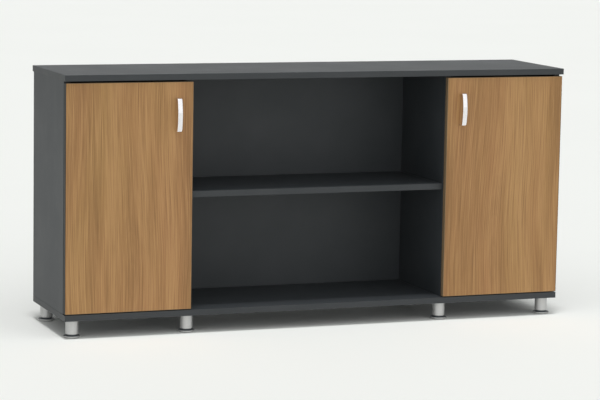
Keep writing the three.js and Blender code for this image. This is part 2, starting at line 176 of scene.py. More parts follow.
def lay_floor():
    """A square about the origin, in two pale greys that drift into each other in slow clouds."""
    material, tree, shader = new_material("pale_floor", Roughness=0.9, Specular_IOR_Level=0.1)
    cloud = noise(tree, object_place(tree), FLOOR_CLOUDS, detail=2.0)
    tree.links.new(mix_colors(tree, cloud, FLOOR_DARK, FLOOR_LIGHT), shader.inputs["Base Color"])
    mesh = bpy.data.meshes.new("pale_floor")
    corners = FLOOR_HALF * np.array([[-1, -1, 0], [1, -1, 0], [1, 1, 0], [-1, 1, 0]], float)
    mesh.from_pydata(corners.tolist(), [], [[0, 1, 2, 3]])
    mesh.materials.append(material)
    made = bpy.data.objects.new("pale_floor", mesh)
    bpy.context.scene.collection.objects.link(made)
    return made


floor = lay_floor()
print(floor.name, 2 * FLOOR_HALF, "m wide")

# %% [markdown]
# ## Sky
# Most of the light comes from a white sky in front: it reaches a little way under the body, so the
# shadow there deepens towards the back. A low glow at the back right puts a sheen on the top. Area
# lights could do the same, but a sky that changes with direction needs no placing and leaves no
# bright shapes in the metal.

# %% Studio sky
GLOW_FRONT, GLOW_FRONT_LEFT, GLOW_FRONT_RIGHT = 1.11, 0.78, 0.58
GLOW_BACK, GLOW_HORIZON = 0.12, 1.25
LEFT_FADE, RIGHT_FADE, BACK_FADE = (-0.85, -0.45), (0.45, 0.85), (-0.2, 0.2)
SHEEN_HEIGHT, SHEEN_RIGHT, SHEEN_BEHIND = (0.1, 0.5), (-0.2, 0.2), (0.5, 0.8)
SKY_COLOR = (0.985, 1.0, 0.99, 1.0)


def value_math(tree, operation, first, second=0.0):
    """One Math node; each argument is a socket to link or a number to set."""
    made = add_node(tree, "ShaderNodeMath", operation=operation)
    feed(tree, made.inputs[0], first)
    feed(tree, made.inputs[1], second)
    return made.outputs["Value"]


def product(tree, first, *others):
    """Values multiplied together, one Math node after another."""
    for other in others:
        first = value_math(tree, "MULTIPLY", first, other)
    return first


def spread(tree, value, low, high, to_low=0.0, to_high=1.0):
    """Maps low..high of a value onto to_low..to_high, held at both ends."""
    made = add_node(tree, "ShaderNodeMapRange", From_Min=low, From_Max=high)
    made.inputs["To Min"].default_value = to_low
    made.inputs["To Max"].default_value = to_high
    feed(tree, made.inputs["Value"], value)
    return made.outputs["Result"]


def light_sky():
    """Sky strength by direction: the front value fades to lower ones at left and right and to the
    back value behind. The horizon value is added where the direction points right and back and
    stays low, for the sheen of the top."""
    world = bpy.data.worlds.new("studio_sky")
    world.use_nodes = True
    bpy.context.scene.world = world
    tree = world.node_tree
    parts = add_node(tree, "ShaderNodeSeparateXYZ")
    direction = add_node(tree, "ShaderNodeTexCoord").outputs["Generated"]
    tree.links.new(direction, parts.inputs["Vector"])
    x, y, z = (parts.outputs[axis] for axis in "XYZ")
    right = spread(tree, x, *RIGHT_FADE, GLOW_FRONT, GLOW_FRONT_RIGHT)
    left = spread(tree, x, *LEFT_FADE, GLOW_FRONT_LEFT / GLOW_FRONT, 1.0)
    behind = spread(tree, y, *BACK_FADE)
    facing = product(tree, right, left, value_math(tree, "SUBTRACT", 1.0, behind))
    backing = product(tree, behind, GLOW_BACK)
    low = spread(tree, z, *SHEEN_HEIGHT, GLOW_HORIZON, 0.0)
    sheen = product(tree, low, spread(tree, x, *SHEEN_RIGHT), spread(tree, y, *SHEEN_BEHIND))
    total = value_math(tree, "ADD", value_math(tree, "ADD", facing, backing), sheen)
    sky = tree.nodes["Background"]
    sky.inputs["Color"].default_value = SKY_COLOR
    tree.links.new(total, sky.inputs["Strength"])


light_sky()
print("sky", GLOW_FRONT, "in front", GLOW_BACK, "behind")

# %% [markdown]
# ## Lamp
# The shadow under the body has a clear front edge, which a sky alone would blur away. A lamp high
# overhead draws it. A sun lamp was chosen because its rays are parallel, so the shadow falls in the
# same way along the whole length.

# %% Overhead lamp
LAMP_STRENGTH = 1.45
LAMP_SPREAD = math.radians(9)
LAMP_FROM = Vector((-0.05, -0.12, 1.0))


def hang_lamp():
    """A sun that shines down from a little in front; its spread softens the shadows' edges."""
    lamp = bpy.data.lights.new("overhead_lamp", "SUN")
    lamp.energy = LAMP_STRENGTH
    lamp.angle = LAMP_SPREAD
    holder = bpy.data.objects.new("overhead_lamp", lamp)
    holder.rotation_mode = "QUATERNION"
    holder.rotation_quaternion = LAMP_FROM.to_track_quat("Z", "Y")
    bpy.context.scene.collection.objects.link(holder)


hang_lamp()
bpy.context.scene.view_settings.view_transform = "Standard"
print("lamp", LAMP_STRENGTH)

# %% [markdown]
# ## Shared effects: pressed pearl and handling marks
# Two effects return on several finishes: the fine pearl texture pressed into melamine facing, and
# the faint marks that hands leave on gloss. Copying their nodes into each material would work, but
# a node group is built once and placed with its own values. A group gives back only masks and
# heights; each material decides what to do with them.

# %% Pearl and marks groups
MASK_RANGE = (0.3, 0.7)
MOTTLE_SCALE = 9.0
SMUDGE_RANGE = (0.4, 0.7)
WIPE_RANGE = (0.3, 0.8)
WIPE_STRETCH = (5.0, 5.0, 1.2)


def new_group(name, inputs, outputs):
    """An empty shader group with a vector input, named value inputs and named value outputs."""
    group = bpy.data.node_groups.new(name, "ShaderNodeTree")
    group.interface.new_socket("Vector", in_out="INPUT", socket_type="NodeSocketVector")
    for label, value in inputs.items():
        socket = group.interface.new_socket(label, in_out="INPUT", socket_type="NodeSocketFloat")
        socket.default_value = value
    for label in outputs:
        group.interface.new_socket(label, in_out="OUTPUT", socket_type="NodeSocketFloat")
    return group, group.nodes.new("NodeGroupInput"), group.nodes.new("NodeGroupOutput")


def scaled(tree, vector, factors):
    """A vector multiplied by three numbers, one for each axis."""
    made = add_node(tree, "ShaderNodeVectorMath", operation="MULTIPLY")
    feed(tree, made.inputs[0], vector)
    feed(tree, made.inputs[1], factors)
    return made.outputs["Vector"]


def pearl_group():
    """Pressed pearl texture: fine bumps, and a slow mottle of the colour."""
    group, source, sink = new_group("pressed_pearl", {"Fineness": 900.0}, ("Height", "Mottle"))
    vector = source.outputs["Vector"]
    bumps = noise(group, vector, source.outputs["Fineness"], detail=3.0, roughness=0.6)
    slow = noise(group, vector, MOTTLE_SCALE, detail=4.0, roughness=0.55)
    group.links.new(bumps, sink.inputs["Height"])
    group.links.new(spread(group, slow, *MASK_RANGE), sink.inputs["Mottle"])
    return group


def marks_group():
    """Handling marks: wide soft smudges with finer wiped streaks in them."""
    group, source, sink = new_group("handling_marks", {"Size": 14.0}, ("Marks",))
    vector, size = source.outputs["Vector"], source.outputs["Size"]
    wide = noise(group, vector, size, detail=3.0, roughness=0.6)
    wiped = scaled(group, vector, WIPE_STRETCH)
    fine = noise(group, wiped, size, detail=4.0, roughness=0.65)
    smudges = spread(group, wide, *SMUDGE_RANGE)
    group.links.new(product(group, smudges, spread(group, fine, *WIPE_RANGE)), sink.inputs["Marks"])
    return group


def place_group(tree, group, **values):
    """A group node reading Object coordinates, with its own values."""
    made = add_node(tree, "ShaderNodeGroup")
    made.node_tree = group
    for label, value in values.items():
        made.inputs[label.replace("_", " ")].default_value = value
    tree.links.new(object_place(tree), made.inputs["Vector"])
    return made


PEARL, MARKS = pearl_group(), marks_group()
print("groups", PEARL.name, MARKS.name)

# %% [markdown]
# ## Shared effect: upright wood grain
# Printed wood runs in long upright streaks of several widths, leans a little, and arches round the
# heart of the board. Blender's Wave texture gives bands that are too even, so the streaks here are
# noise squeezed across the board and drawn out along it. The door faces and their edging share it.

# %% Grain group
SWAY_STRETCH = (2.6, 2.6, 1.2)
TINT_STRETCH = (9.0, 9.0, 1.3)
BAND_STRETCH = (12.0, 12.0, 0.8)
STREAK_STRETCH = (330.0, 330.0, 4.0)
LINE_STRETCH = (430.0, 430.0, 5.0)
LINE_RANGE = (0.56, 0.72)
RINGS_PER_METRE = 130.0
RING_RANGE = (0.35, 0.65)
RING_REACH = (0.01, 0.07)


def drawn_noise(tree, vector, stretch, detail, roughness=0.5):
    """Noise on a vector scaled by three numbers; a small third one draws it out along z."""
    return noise(tree, scaled(tree, vector, stretch), 1.0, detail=detail, roughness=roughness)


def ring_figure(group, source, across, height):
    """Rings are noise on the distance from a centre. Height counts in that distance only by the
    slope, so the rings are tall ovals, and they fade away from the centre."""
    off_x = value_math(group, "SUBTRACT", across, source.outputs["Ring x"])
    off_z = value_math(group, "SUBTRACT", height, source.outputs["Ring z"])
    lean = product(group, off_z, source.outputs["Ring slope"])
    squares = value_math(group, "ADD", product(group, off_x, off_x), product(group, lean, lean))
    reach = value_math(group, "SQRT", squares)
    rings = add_node(group, "ShaderNodeTexNoise", noise_dimensions="1D", Scale=1.0, Detail=2.0)
    group.links.new(product(group, reach, RINGS_PER_METRE), rings.inputs["W"])
    shown = spread(group, rings.outputs["Fac"], *RING_RANGE)
    return product(group, shown, spread(group, reach, *RING_REACH, 1.0, 0.0))


def grain_group():
    """Upright wood grain: noise drawn out along z, after a slow sideways sway that makes it lean.
    Four widths give the tint, broad bands, streaks and thin dark lines, and tall rings give the
    arched figure. The cut is the depth in the log at which the face is taken."""
    values = {"Sway": 0.075, "Cut": 0.0, "Ring x": 0.0, "Ring z": 0.4, "Ring slope": 0.2}
    outputs = ("Tint", "Band", "Streak", "Line", "Figure")
    group, source, sink = new_group("upright_grain", values, outputs)
    vector = source.outputs["Vector"]
    parts = add_node(group, "ShaderNodeSeparateXYZ")
    group.links.new(vector, parts.inputs["Vector"])
    x, y, z = (parts.outputs[axis] for axis in "XYZ")
    sway = drawn_noise(group, vector, SWAY_STRETCH, detail=1.0)
    shift = product(group, sway, source.outputs["Sway"])
    across = value_math(group, "ADD", x, shift)
    depth = value_math(group, "ADD", y, source.outputs["Cut"])
    bent = add_node(group, "ShaderNodeCombineXYZ")
    for axis, value in zip("XYZ", (across, depth, z)):
        group.links.new(value, bent.inputs[axis])
    flow = bent.outputs["Vector"]
    tint = drawn_noise(group, flow, TINT_STRETCH, detail=2.0)
    band = drawn_noise(group, flow, BAND_STRETCH, detail=2.0)
    streak = drawn_noise(group, flow, STREAK_STRETCH, detail=4.0, roughness=0.68)
    line = drawn_noise(group, flow, LINE_STRETCH, detail=4.0, roughness=0.6)
    masks = [spread(group, wave, *MASK_RANGE) for wave in (tint, band, streak)]
    masks += [spread(group, line, *LINE_RANGE), ring_figure(group, source, across, z)]
    for label, mask in zip(outputs, masks):
        group.links.new(mask, sink.inputs[label])
    return group


GRAIN = grain_group()
print("group", GRAIN.name)

# %% [markdown]
# ## Graphite board
# The carcass is graphite melamine: nearly black, matt, with a pearl texture and a slow mottle.
# A flat dark grey would look like card, so the colour drifts between two greys and the gloss
# changes where hands have been. The narrow edging of each board is painted darker than its
# faces, as painted shade: the front edges take less light than the top and the sides.

# %% Graphite finishes
LAMINATE_IOR = 1.48
GRAPHITE_DARK = (0.0299, 0.0350, 0.0391)
GRAPHITE_LIGHT = (0.0377, 0.0419, 0.0466)
GRAPHITE_PEARL = 950.0
GRAPHITE_MARKS = 6.0
MARK_POLISH = 0.08
PEARL_DEPTH = 0.00012


def bump_from(tree, shader, height, distance, strength=1.0):
    """Feeds a height through a Bump node to the shader's normal."""
    made = add_node(tree, "ShaderNodeBump", Strength=strength, Distance=distance)
    tree.links.new(height, made.inputs["Height"])
    tree.links.new(made.outputs["Normal"], shader.inputs["Normal"])


def graphite_finish(name, rough, shade):
    """Two dark greys times the shade, mixed by the mottle. Roughness falls a little under marks."""
    material, tree, shader = new_material(name, IOR=LAMINATE_IOR)
    pearl = place_group(tree, PEARL, Fineness=GRAPHITE_PEARL)
    marks = place_group(tree, MARKS, Size=GRAPHITE_MARKS)
    dark = tuple(shade * channel for channel in GRAPHITE_DARK)
    light = tuple(shade * channel for channel in GRAPHITE_LIGHT)
    color = mix_colors(tree, pearl.outputs["Mottle"], dark, light)
    tree.links.new(color, shader.inputs["Base Color"])
    polished = spread(tree, marks.outputs["Marks"], 0.0, 1.0, rough, rough - MARK_POLISH)
    tree.links.new(polished, shader.inputs["Roughness"])
    bump_from(tree, shader, pearl.outputs["Height"], PEARL_DEPTH, strength=0.5)
    return material


graphite_face = graphite_finish("graphite_face", rough=0.52, shade=1.0)
# painted shade: a darker copy of the board finish for the narrow faces, which mostly face front
shaded_graphite_edge = graphite_finish("shaded_graphite_edge", rough=0.5, shade=0.80)
# painted shade: the neck and flat top of each foot, dark under the tube
painted_shade_collar = graphite_finish("painted_shade_collar", rough=0.6, shade=2.2)
print("graphite", graphite_face.name, shaded_graphite_edge.name, painted_shade_collar.name)

# %% [markdown]
# ## Wood laminate
# The doors are faced with printed wood. One colour ramp on one noise looks like plastic, so four
# brown tones are mixed in turn by the grain's masks: first the tint, then bands, streaks, rings and
# thin dark lines. Each door is cut from its own place in the grain, so the two aren't twins.

# %% Wood faces
WOOD_DARK = (0.203, 0.095, 0.028)
WOOD_WARM = (0.351, 0.171, 0.062)
WOOD_GOLD = (0.328, 0.179, 0.056)
WOOD_LIGHT = (0.453, 0.254, 0.100)
BAND_AMOUNT, STREAK_AMOUNT = 0.66, 0.9
RING_AMOUNT, LINE_AMOUNT = 0.25, 0.55
WOOD_MARKS = 8.0
WOOD_ROUGH, WOOD_POLISHED = 0.5, 0.42
GRAIN_DEPTH = 0.00015


def toned(tree, mask, amount, color):
    """A wood colour that goes darker where a mask is under its middle and lighter where it is
    over."""
    lighter = spread(tree, mask, 0.5, 1.0, 0.0, amount)
    darker = spread(tree, mask, 0.0, 0.5, amount, 0.0)
    return mix_colors(tree, darker, mix_colors(tree, lighter, color, WOOD_LIGHT), WOOD_DARK)


def darkened(tree, mask, amount, color):
    """A wood colour that goes towards the dark one by an amount where a mask is full."""
    return mix_colors(tree, spread(tree, mask, 0.0, 1.0, 0.0, amount), color, WOOD_DARK)


def wood_finish(name, cut, ring_x, ring_z):
    """Colour goes between gold and warm brown with the tint, lightens and darkens along bands and
    streaks, and takes arched rings and thin dark lines. The bump raises light streaks and presses
    the lines in."""
    material, tree, shader = new_material(name, IOR=LAMINATE_IOR)
    grain = place_group(tree, GRAIN, Cut=cut, Ring_x=ring_x, Ring_z=ring_z).outputs
    marks = place_group(tree, MARKS, Size=WOOD_MARKS).outputs["Marks"]
    base = mix_colors(tree, grain["Tint"], WOOD_WARM, WOOD_GOLD)
    banded = toned(tree, grain["Band"], BAND_AMOUNT, base)
    streaked = toned(tree, grain["Streak"], STREAK_AMOUNT, banded)
    ringed = darkened(tree, grain["Figure"], RING_AMOUNT, streaked)
    lined = darkened(tree, grain["Line"], LINE_AMOUNT, ringed)
    tree.links.new(lined, shader.inputs["Base Color"])
    rough = spread(tree, marks, 0.0, 1.0, WOOD_ROUGH, WOOD_POLISHED)
    tree.links.new(rough, shader.inputs["Roughness"])
    relief = value_math(tree, "SUBTRACT", grain["Streak"], grain["Line"])
    bump_from(tree, shader, relief, GRAIN_DEPTH, strength=0.5)
    return material


wood_faces = {
    "left": wood_finish("left_wood_face", cut=1.0, ring_x=-0.566, ring_z=0.172),
    "right": wood_finish("right_wood_face", cut=0.5, ring_x=0.632, ring_z=0.180),
}
print("wood", [material.name for material in wood_faces.values()])

# %% [markdown]
# ## Door edging and raw core
# The strip glued round a door is painted darker than its face, as painted shade on the narrow
# faces, and it is duller. On the hinge side it is painted nearly black, a painted shadow of the gap
# between door and side panel. Where a hole is drilled, the chips of the board show. Both could be
# plain browns, but they are seen close up when a door stands open, so each gets a pattern.

# %% Edging and core finishes
# painted shade: the edging browns are darker than the face; the third colour is a painted shadow
EDGING_SHADED_DARK = (0.1814, 0.1227, 0.0685)
EDGING_SHADED_LIGHT = (0.2294, 0.1622, 0.0968)
EDGING_GAP_SHADOW = (0.020, 0.018, 0.015)
EDGING_ROUGH = (0.42, 0.5)
HINGE_SIDE_FROM = (0.7945, 0.7962)
CORE_DARK = (0.16, 0.10, 0.05)
CORE_LIGHT = (0.36, 0.24, 0.13)
CORE_CHIPS = 1400.0
CORE_DEPTH = 0.0004


def edging_finish():
    """The grain's streaks between two dull browns, painted darker than the face as painted shade.
    On the hinge side, where the distance from the object's middle comes near the doors' far edges,
    it goes nearly black: a painted shadow of the gap."""
    material, tree, shader = new_material("wood_edging", IOR=LAMINATE_IOR, Specular_IOR_Level=0.2)
    grain = place_group(tree, GRAIN).outputs
    color = mix_colors(tree, grain["Streak"], EDGING_SHADED_DARK, EDGING_SHADED_LIGHT)
    parts = add_node(tree, "ShaderNodeSeparateXYZ")
    tree.links.new(object_place(tree), parts.inputs["Vector"])
    aside = value_math(tree, "ABSOLUTE", parts.outputs["X"])
    # painted shadow of the gap between door and side panel, on the hinge side
    outer = spread(tree, aside, *HINGE_SIDE_FROM)
    tree.links.new(mix_colors(tree, outer, color, EDGING_GAP_SHADOW), shader.inputs["Base Color"])
    rough = spread(tree, grain["Band"], 0.0, 1.0, *EDGING_ROUGH)
    tree.links.new(rough, shader.inputs["Roughness"])
    return material


def core_finish():
    """Raw particleboard: pale chips with dark gaps, raised by the same fine noise."""
    material, tree, shader = new_material("raw_core", Roughness=0.9)
    chips = place_group(tree, PEARL, Fineness=CORE_CHIPS).outputs["Height"]
    tree.links.new(mix_colors(tree, chips, CORE_DARK, CORE_LIGHT), shader.inputs["Base Color"])
    bump_from(tree, shader, chips, CORE_DEPTH)
    return material


wood_edging = edging_finish()
raw_core = core_finish()
print("edging and core", wood_edging.name, raw_core.name)

# %% [markdown]
# ## Metals and the soft pad
# Legs and feet are satin silver, the handles bright, the hinges nickel plated, and pins, screws and
# studs zinc plated. An even metal looks like a toy, so each has fine lines drawn the way its tool
# moved, and marks that dull it. All but the handles are a little less than fully metallic, because
# their surfaces also scatter light. The pads behind the doors are milky and let a little light
# under their skin.

# %% Metal and pad finishes
METAL_MARKS = 45.0
LINE_SHADE = 0.86
MARK_DULLING = 0.1
PAD_SHADED, PAD_CLEAR = (0.66, 0.66, 0.60), (0.78, 0.78, 0.72)
PAD_PEARL = 600.0
PAD_ROUGH = (0.3, 0.45)


def metal_finish(name, color, rough, stretch, depth, metallic=1.0):
    """Drawn-out noise gives the tool's lines, which darken and dent the metal a little."""
    material, tree, shader = new_material(name, Metallic=metallic)
    marks = place_group(tree, MARKS, Size=METAL_MARKS).outputs["Marks"]
    lines = drawn_noise(tree, object_place(tree), stretch, detail=3.0, roughness=0.6)
    shaded = tuple(LINE_SHADE * channel for channel in color)
    toned_metal = mix_colors(tree, spread(tree, lines, *MASK_RANGE), shaded, color)
    tree.links.new(toned_metal, shader.inputs["Base Color"])
    dulled = spread(tree, marks, 0.0, 1.0, rough, rough + MARK_DULLING)
    tree.links.new(dulled, shader.inputs["Roughness"])
    bump_from(tree, shader, lines, depth, strength=0.4)
    return material


def pad_finish():
    """Soft clear pad: a slow mottle between two milky tones, rough where the pearl is high."""
    material, tree, shader = new_material("clear_pad_skin", IOR=1.42, Subsurface_Weight=0.4)
    pearl = place_group(tree, PEARL, Fineness=PAD_PEARL).outputs
    color = mix_colors(tree, pearl["Mottle"], PAD_SHADED, PAD_CLEAR)
    tree.links.new(color, shader.inputs["Base Color"])
    rough = spread(tree, pearl["Height"], 0.0, 1.0, *PAD_ROUGH)
    tree.links.new(rough, shader.inputs["Roughness"])
    return material


SATIN = dict(rough=0.42, stretch=(60.0, 60.0, 2600.0), depth=0.00002, metallic=0.65)
POLISHED = dict(rough=0.10, stretch=(900.0, 900.0, 30.0), depth=0.00001)
NICKEL = dict(rough=0.34, stretch=(400.0, 60.0, 400.0), depth=0.00002, metallic=0.75)
ZINC = dict(rough=0.34, stretch=(700.0, 700.0, 700.0), depth=0.00002, metallic=0.85)
satin_silver = metal_finish("satin_silver", (0.59, 0.59, 0.585), **SATIN)
# painted shade: a darker copy of the legs' satin for the foot discs, whose rims face the front light
shaded_satin_disc = metal_finish("shaded_satin_disc", (0.50, 0.50, 0.495), **SATIN)
bright_metal = metal_finish("bright_metal", (0.95, 0.925, 0.945), **POLISHED)
nickel_plate = metal_finish("nickel_plate", (0.66, 0.655, 0.635), **NICKEL)
zinc_plate = metal_finish("zinc_plate", (0.58, 0.59, 0.60), **ZINC)
clear_pad = pad_finish()
print("metals", satin_silver.name, bright_metal.name, nickel_plate.name, zinc_plate.name)

# %% [markdown]
# ## Making a piece
# Every new piece is a set of points worked out as one array, put into a mesh, given its finishes
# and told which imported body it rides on. Points that coincide at poles and seams are merged, so
# each mesh is one closed skin.

# %% From arrays to a piece
MERGE = 1e-7
SHARP_ANGLE = math.radians(40)


def grid_faces(rows, columns):
    """Quads of a grid whose columns join up into a ring."""
    below = np.arange(rows - 1)[:, None] * columns
    here = np.arange(columns)[None, :]
    after = (here + 1) % columns
    above = below + columns
    return np.stack([below + here, below + after, above + after, above + here], -1).reshape(-1, 4)


def new_mesh(name, points, faces):
    """A mesh with coinciding points merged and its faces turned outwards."""
    mesh = bpy.data.meshes.new(name)
    mesh.from_pydata(points.reshape(-1, 3).tolist(), [], [list(face) for face in faces])
    work = bmesh.new()
    work.from_mesh(mesh)
    bmesh.ops.remove_doubles(work, verts=work.verts, dist=MERGE)
    bmesh.ops.recalc_face_normals(work, faces=work.faces)
    work.to_mesh(mesh)
    work.free()
    return mesh


def finish_piece(name, mesh, finishes, body, slot, *stands_for):
    """An object at the origin with smooth shading that keeps its flats flat."""
    for material in finishes:
        mesh.materials.append(material)
    mesh.shade_smooth()
    mesh.set_sharp_from_angle(angle=SHARP_ANGLE)
    piece = bpy.data.objects.new(name, mesh)
    bpy.context.scene.collection.objects.link(piece)
    piece.modifiers.new("flat_faces", "WEIGHTED_NORMAL").keep_sharp = True
    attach(piece, body)
    if stands_for:
        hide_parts(*stands_for)
    return piece


print("mesh helpers ready")

# %% [markdown]
# ## A board with softened edges
# A board is a box with softened edges. It could be a cube with a Bevel modifier, but a formula is
# exact and tidy: take a sphere of the edge radius, cut it into eight corners, and push each corner
# out to a corner of the board. The faces between the corners are the flats and the rounded edges.
# The narrow faces get the edging finish.

# %% Softened box
EDGE_STEPS = 3
SQUARE_COSINE = 0.999


def rounded_board(low, high, radius):
    """Points: a corner of the box shrunk by the radius, plus the radius times a direction whose
    azimuth and elevation run through the eight corners of a sphere."""
    turn = np.linspace(0.0, math.pi / 2, EDGE_STEPS + 1)
    azimuth = (turn[None, :] + np.arange(4)[:, None] * math.pi / 2).ravel()
    elevation = np.concatenate([turn - math.pi / 2, turn])
    flat = np.cos(elevation)[:, None]
    rise = np.repeat(np.sin(elevation)[:, None], len(azimuth), 1)
    toward = np.stack([flat * np.cos(azimuth), flat * np.sin(azimuth), rise], -1)
    per_corner = EDGE_STEPS + 1
    sign = np.empty_like(toward)
    sign[..., 0] = np.repeat([1, -1, -1, 1], per_corner)[None, :]
    sign[..., 1] = np.repeat([1, 1, -1, -1], per_corner)[None, :]
    sign[..., 2] = np.repeat([-1, 1], per_corner)[:, None]
    centre, half = (low + high) / 2, (high - low) / 2
    points = centre + sign * (half - radius) + radius * toward
    rows, columns = elevation.size, azimuth.size
    corners = np.arange(4) * per_corner
    faces = grid_faces(rows, columns).tolist()
    faces += [corners[::-1].tolist(), ((rows - 1) * columns + corners).tolist()]
    return points, faces


def edge_faces(mesh, thickness_axis):
    """Gives the second finish to every face that doesn't lie square to the board's thickness."""
    normals = np.empty(len(mesh.polygons) * 3, np.float32)
    mesh.polygons.foreach_get("normal", normals)
    narrow = np.abs(normals.reshape(-1, 3)[:, thickness_axis]) < SQUARE_COSINE
    mesh.polygons.foreach_set("material_index", narrow.astype(np.int32))


print("edge steps", EDGE_STEPS)

# %% [markdown]
# ## Turned shapes
# Legs, feet, pins, pads and the drill that bores a hole are all round. Each could start from a
# cylinder, but a profile carried round an axis gives every step and fillet at once, and the same
# few lines serve them all.

# %% Profiles carried round an axis
MM = 0.001
OVERSHOOT = 2.0 * MM


def turned(profile, sides):
    """Radius and height pairs carried round the z axis; a profile starts and ends on the axis."""
    angle = np.linspace(0.0, 2.0 * math.pi, sides, endpoint=False)
    radius, height = np.array(profile, float).T
    points = np.empty((len(radius), sides, 3))
    points[..., 0] = radius[:, None] * np.cos(angle)
    points[..., 1] = radius[:, None] * np.sin(angle)
    points[..., 2] = height[:, None]
    return points, grid_faces(len(radius), sides)


def along(points, origin, axis):
    """Turns a shape built on z so that z lies along an axis, then moves it to its origin."""
    turn = np.array(Vector(axis).to_track_quat("Z", "Y").to_matrix())
    return points @ turn.T + np.array(origin)


def round_hole(origin, axis, radius, depth, sides):
    """A drill's shape: from a little outside the face to its depth."""
    profile = [(0.0, -OVERSHOOT), (radius, -OVERSHOOT), (radius, depth), (0.0, depth)]
    points, faces = turned(profile, sides)
    return along(points, origin, axis), faces


print("turned shapes ready, overshoot", OVERSHOOT / MM, "mm")

# %% [markdown]
# ## Drilling
# Boards have holes for shelf pins and doors have holes for hinge cups. Modelling a hole into a grid
# of faces is fiddly, so the holes are closed shapes taken out with one exact Boolean, as a drill
# takes them out of a board. The cut faces show the raw core.

# %% Drilled holes
CORE_INDEX = 2


def drill(mesh, tools):
    """Cuts closed tool shapes out of a mesh; the cut faces take the third finish. Both meshes get
    three stand-in finishes first, because a Boolean keeps face indices only between like slots."""
    points = np.concatenate([tool.reshape(-1, 3) for tool, _ in tools])
    starts = np.cumsum([0] + [tool.size // 3 for tool, _ in tools])
    faces = np.concatenate([quads + start for (_, quads), start in zip(tools, starts)])
    block = bpy.data.objects.new("drilled_block", mesh)
    bit = bpy.data.objects.new("drill_bit", new_mesh("drill_bit", points, faces.tolist()))
    for material in (graphite_face, shaded_graphite_edge, raw_core):
        bit.data.materials.append(material)
        mesh.materials.append(material)
    core = np.full(len(bit.data.polygons), CORE_INDEX, np.int32)
    bit.data.polygons.foreach_set("material_index", core)
    for thing in (block, bit):
        bpy.context.scene.collection.objects.link(thing)
    cut = block.modifiers.new("holes", "BOOLEAN")
    cut.operation = "DIFFERENCE"
    cut.solver = "EXACT"
    cut.object = bit
    evaluated = block.evaluated_get(bpy.context.evaluated_depsgraph_get())
    drilled = bpy.data.meshes.new_from_object(evaluated)
    kept = np.empty(len(drilled.polygons), np.int32)
    drilled.polygons.foreach_get("material_index", kept)
    drilled.materials.clear()
    drilled.polygons.foreach_set("material_index", kept)
    for thing in (block, bit):
        bpy.data.objects.remove(thing)
    return drilled


print("drill ready, cut faces take finish", CORE_INDEX)

# %% [markdown]
# ## Carcass boards
# Top, bottom, back, sides, dividers and shelves all come from the same function, each filling the
# box of its packed board. The sides and dividers have rows of pin holes, so a shelf can be moved up
# or down. Real cabinets space these holes 32 mm apart, and so does this one.

# %% Carcass
HANDS = (("left", -1.0), ("right", 1.0))
BOARD_EDGE = 0.5 * MM
HOLE_PITCH = 32.0 * MM
HOLE_STEPS = (-2, -1, 0, 1, 2)
PIN_HOLE_RADIUS = 2.8 * MM
PIN_HOLE_DEPTH = 10.0 * MM
HOLE_SIDES = 20
PANEL_PINS = {"side_panel": (1, 2), "divider": (3, 4)}
X, Y, Z = range(3)
LEVEL_BOARDS = ("top_panel", "bottom_panel", "niche_shelf", "left_shelf", "right_shelf")
GRAPHITE = dict(
    radius=BOARD_EDGE, body="carcass", slot="graphite_board",
    finishes=(graphite_face, shaded_graphite_edge, raw_core),
)


def node_box(node):
    """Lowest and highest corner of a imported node, as arrays."""
    low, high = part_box(node)
    return np.array(low), np.array(high)


def node_middle(node):
    """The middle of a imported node's box."""
    low, high = node_box(node)
    return (low + high) / 2


def pin_holes(board, pins, into):
    """Holes in a row of steps above and below each pin, from the board's face that the pins enter;
    into is the drill's direction along x."""
    low, high = node_box(board)
    face = low[X] if into > 0 else high[X]
    tools = []
    for pin in pins:
        _, y, z = node_middle(pin)
        for step in HOLE_STEPS:
            origin = (face, y, z + step * HOLE_PITCH)
            axis = (into, 0.0, 0.0)
            tools.append(round_hole(origin, axis, PIN_HOLE_RADIUS, PIN_HOLE_DEPTH, HOLE_SIDES))
    return tools


def make_board(node, thickness_axis, radius, body, slot, finishes, tools=()):
    """A softened box over a packed board, with its narrow faces edged and its holes drilled."""
    mesh = new_mesh(f"{node}_faced", *rounded_board(*node_box(node), radius))
    edge_faces(mesh, thickness_axis)
    if tools:
        mesh = drill(mesh, tools)
        mesh.name = f"{node}_faced"
    return finish_piece(f"{node}_faced", mesh, finishes, body, slot, node)


boards = [make_board(node, Z, **GRAPHITE) for node in LEVEL_BOARDS]
boards.append(make_board("back_panel", Y, **GRAPHITE))
for hand, side in HANDS:
    for board, into in (("side_panel", side), ("divider", -side)):
        pins = [f"{hand}_shelf_pin_{number}" for number in PANEL_PINS[board]]
        holes = pin_holes(f"{hand}_{board}", pins, into)
        boards.append(make_board(f"{hand}_{board}", X, tools=holes, **GRAPHITE))
print("boards", len(boards), "faces", sum(len(board.data.polygons) for board in boards))

# %% [markdown]
# ## Doors
# A door is a board too, with rounder edges, a wood face and two deep round holes for its hinge
# cups. The holes could be measured by hand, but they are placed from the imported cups, so that door
# and hinge always agree.

# %% Doors
LEVELS = ("upper", "lower")
DOOR_EDGE = 1.4 * MM
CUP_SIDES = 64
CUP_RIM = 1.0 * MM
CUP_RADIUS = 17.5 * MM
CUP_HOLE_RADIUS = 17.8 * MM
CUP_HOLE_DEPTH = 13.9 * MM


def cup_axis(hand, side, level):
    """Where a hinge cup's axis stands, as x and z: one rim and one radius out from the inner end
    of the cup's box, at its middle height."""
    low, high = node_box(f"{hand}_{level}_hinge_cup")
    inner = high[X] if side < 0 else low[X]
    return inner + side * (CUP_RIM + CUP_RADIUS), (low[Z] + high[Z]) / 2


